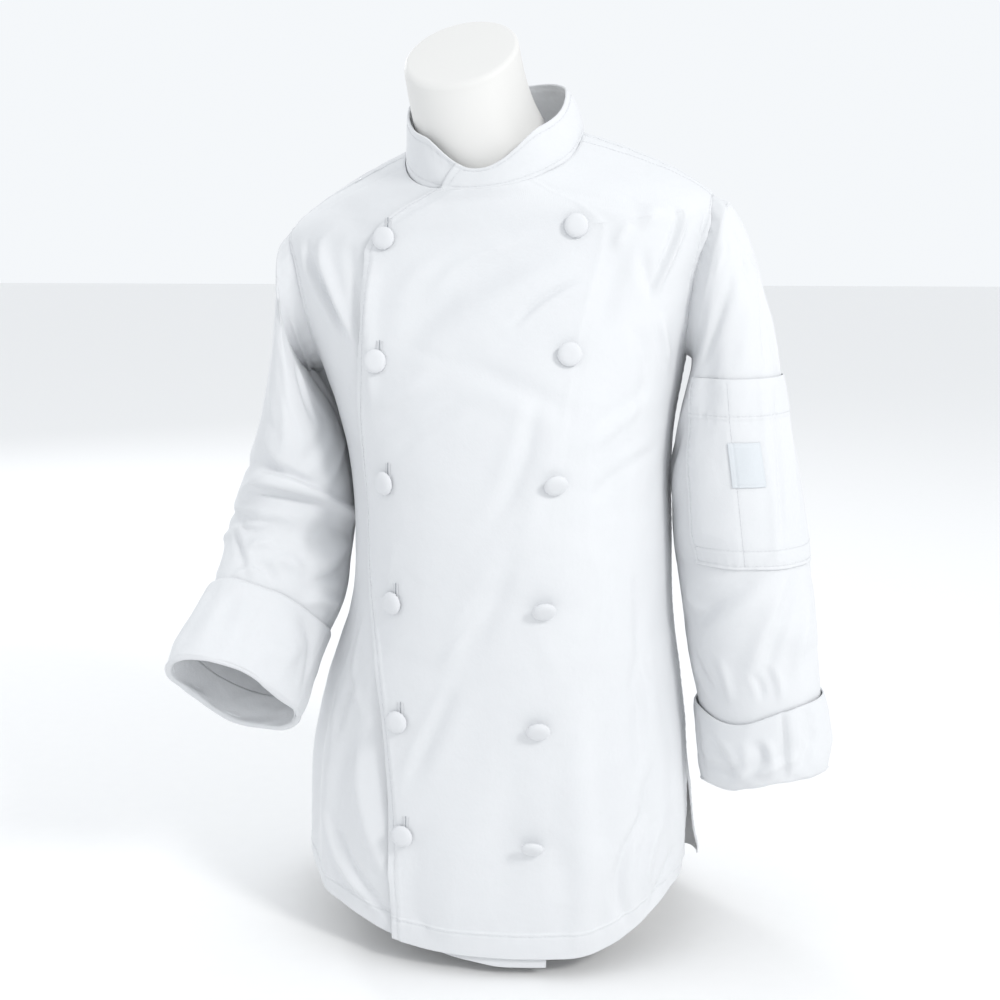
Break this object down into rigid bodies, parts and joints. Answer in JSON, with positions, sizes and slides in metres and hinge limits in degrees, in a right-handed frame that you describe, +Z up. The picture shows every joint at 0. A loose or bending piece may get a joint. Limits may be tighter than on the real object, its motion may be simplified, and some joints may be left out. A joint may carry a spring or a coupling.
{
  "type": "chef jacket on a dress form",
  "caption": "Double-breasted long chef jacket with band collar, covered buttons, turned-up cuffs and a sleeve pocket, worn on a limbless torso form.",
  "frame": {"origin": "middle of the dress form's flat base, on the surface that it stands on", "axes": "+Z up, -Y the way the wearer faces, +X the wearer's left"},
  "size_m": [0.5461, 0.3186, 0.7903],
  "materials": {
    "cotton": "matte white cotton twill",
    "button_cloth": "white cloth pulled tight over a button mould",
    "label_weave": "satin woven tape",
    "form_plastic": "satin moulded white"
  },
  "bodies": {
    "root": {"dress_form": "form_plastic", "back": "cotton", "front_under": "cotton", "front_over": "cotton", "collar": "cotton", "sleeve_left": "cotton", "sleeve_right": "cotton", "cuff_left": "cotton", "cuff_right": "cotton", "sleeve_pocket": "cotton", "label": "label_weave", "button_right_1": "button_cloth", "button_right_2": "button_cloth", "button_right_3": "button_cloth", "button_right_4": "button_cloth", "button_right_5": "button_cloth", "button_right_6": "button_cloth", "button_left_1": "button_cloth", "button_left_2": "button_cloth", "button_left_3": "button_cloth", "button_left_4": "button_cloth", "button_left_5": "button_cloth", "button_left_6": "button_cloth"}
  },
  "joints": []
}
